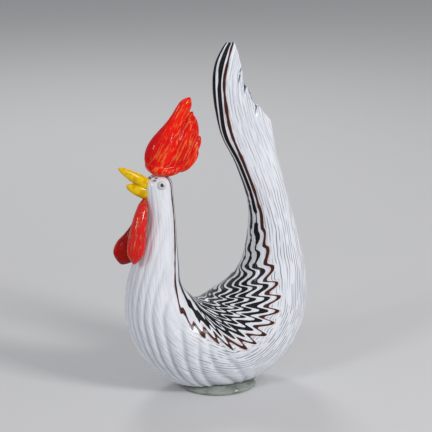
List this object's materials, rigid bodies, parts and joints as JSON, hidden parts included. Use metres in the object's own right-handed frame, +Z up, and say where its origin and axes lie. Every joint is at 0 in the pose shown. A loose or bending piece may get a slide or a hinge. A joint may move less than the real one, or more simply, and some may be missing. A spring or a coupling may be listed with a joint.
{
  "type": "glass rooster figurine",
  "caption": "Blown-glass rooster figurine: fluted white body curving from head to upswept sheared tail, red comb and wattles, open yellow beak, clear pressed foot.",
  "frame": {"origin": "middle of the foot's flat underside", "axes": "-X the way the bird looks, -Y its left side, +Z up"},
  "size_m": [0.2019, 0.094, 0.3525],
  "materials": {
    "white_glass": "glossy opaque white glass with combed black and brown threads over the back and tail",
    "clear_glass": "clear glass with a grey-green tint, fire polished",
    "red_glass": "glossy opaque red glass with gold flecks and streaks",
    "yellow_glass": "glossy opaque yellow glass",
    "grey_glass": "glossy greyish clear glass over white",
    "black_glass": "glossy black glass"
  },
  "bodies": {
    "root": {"body": "white_glass", "foot": "clear_glass", "comb": "red_glass", "upper_beak": "yellow_glass", "lower_beak": "yellow_glass", "left_wattle": "red_glass", "right_wattle": "red_glass", "left_eye": "grey_glass", "right_eye": "grey_glass", "left_pupil": "black_glass", "right_pupil": "black_glass"}
  },
  "joints": []
}
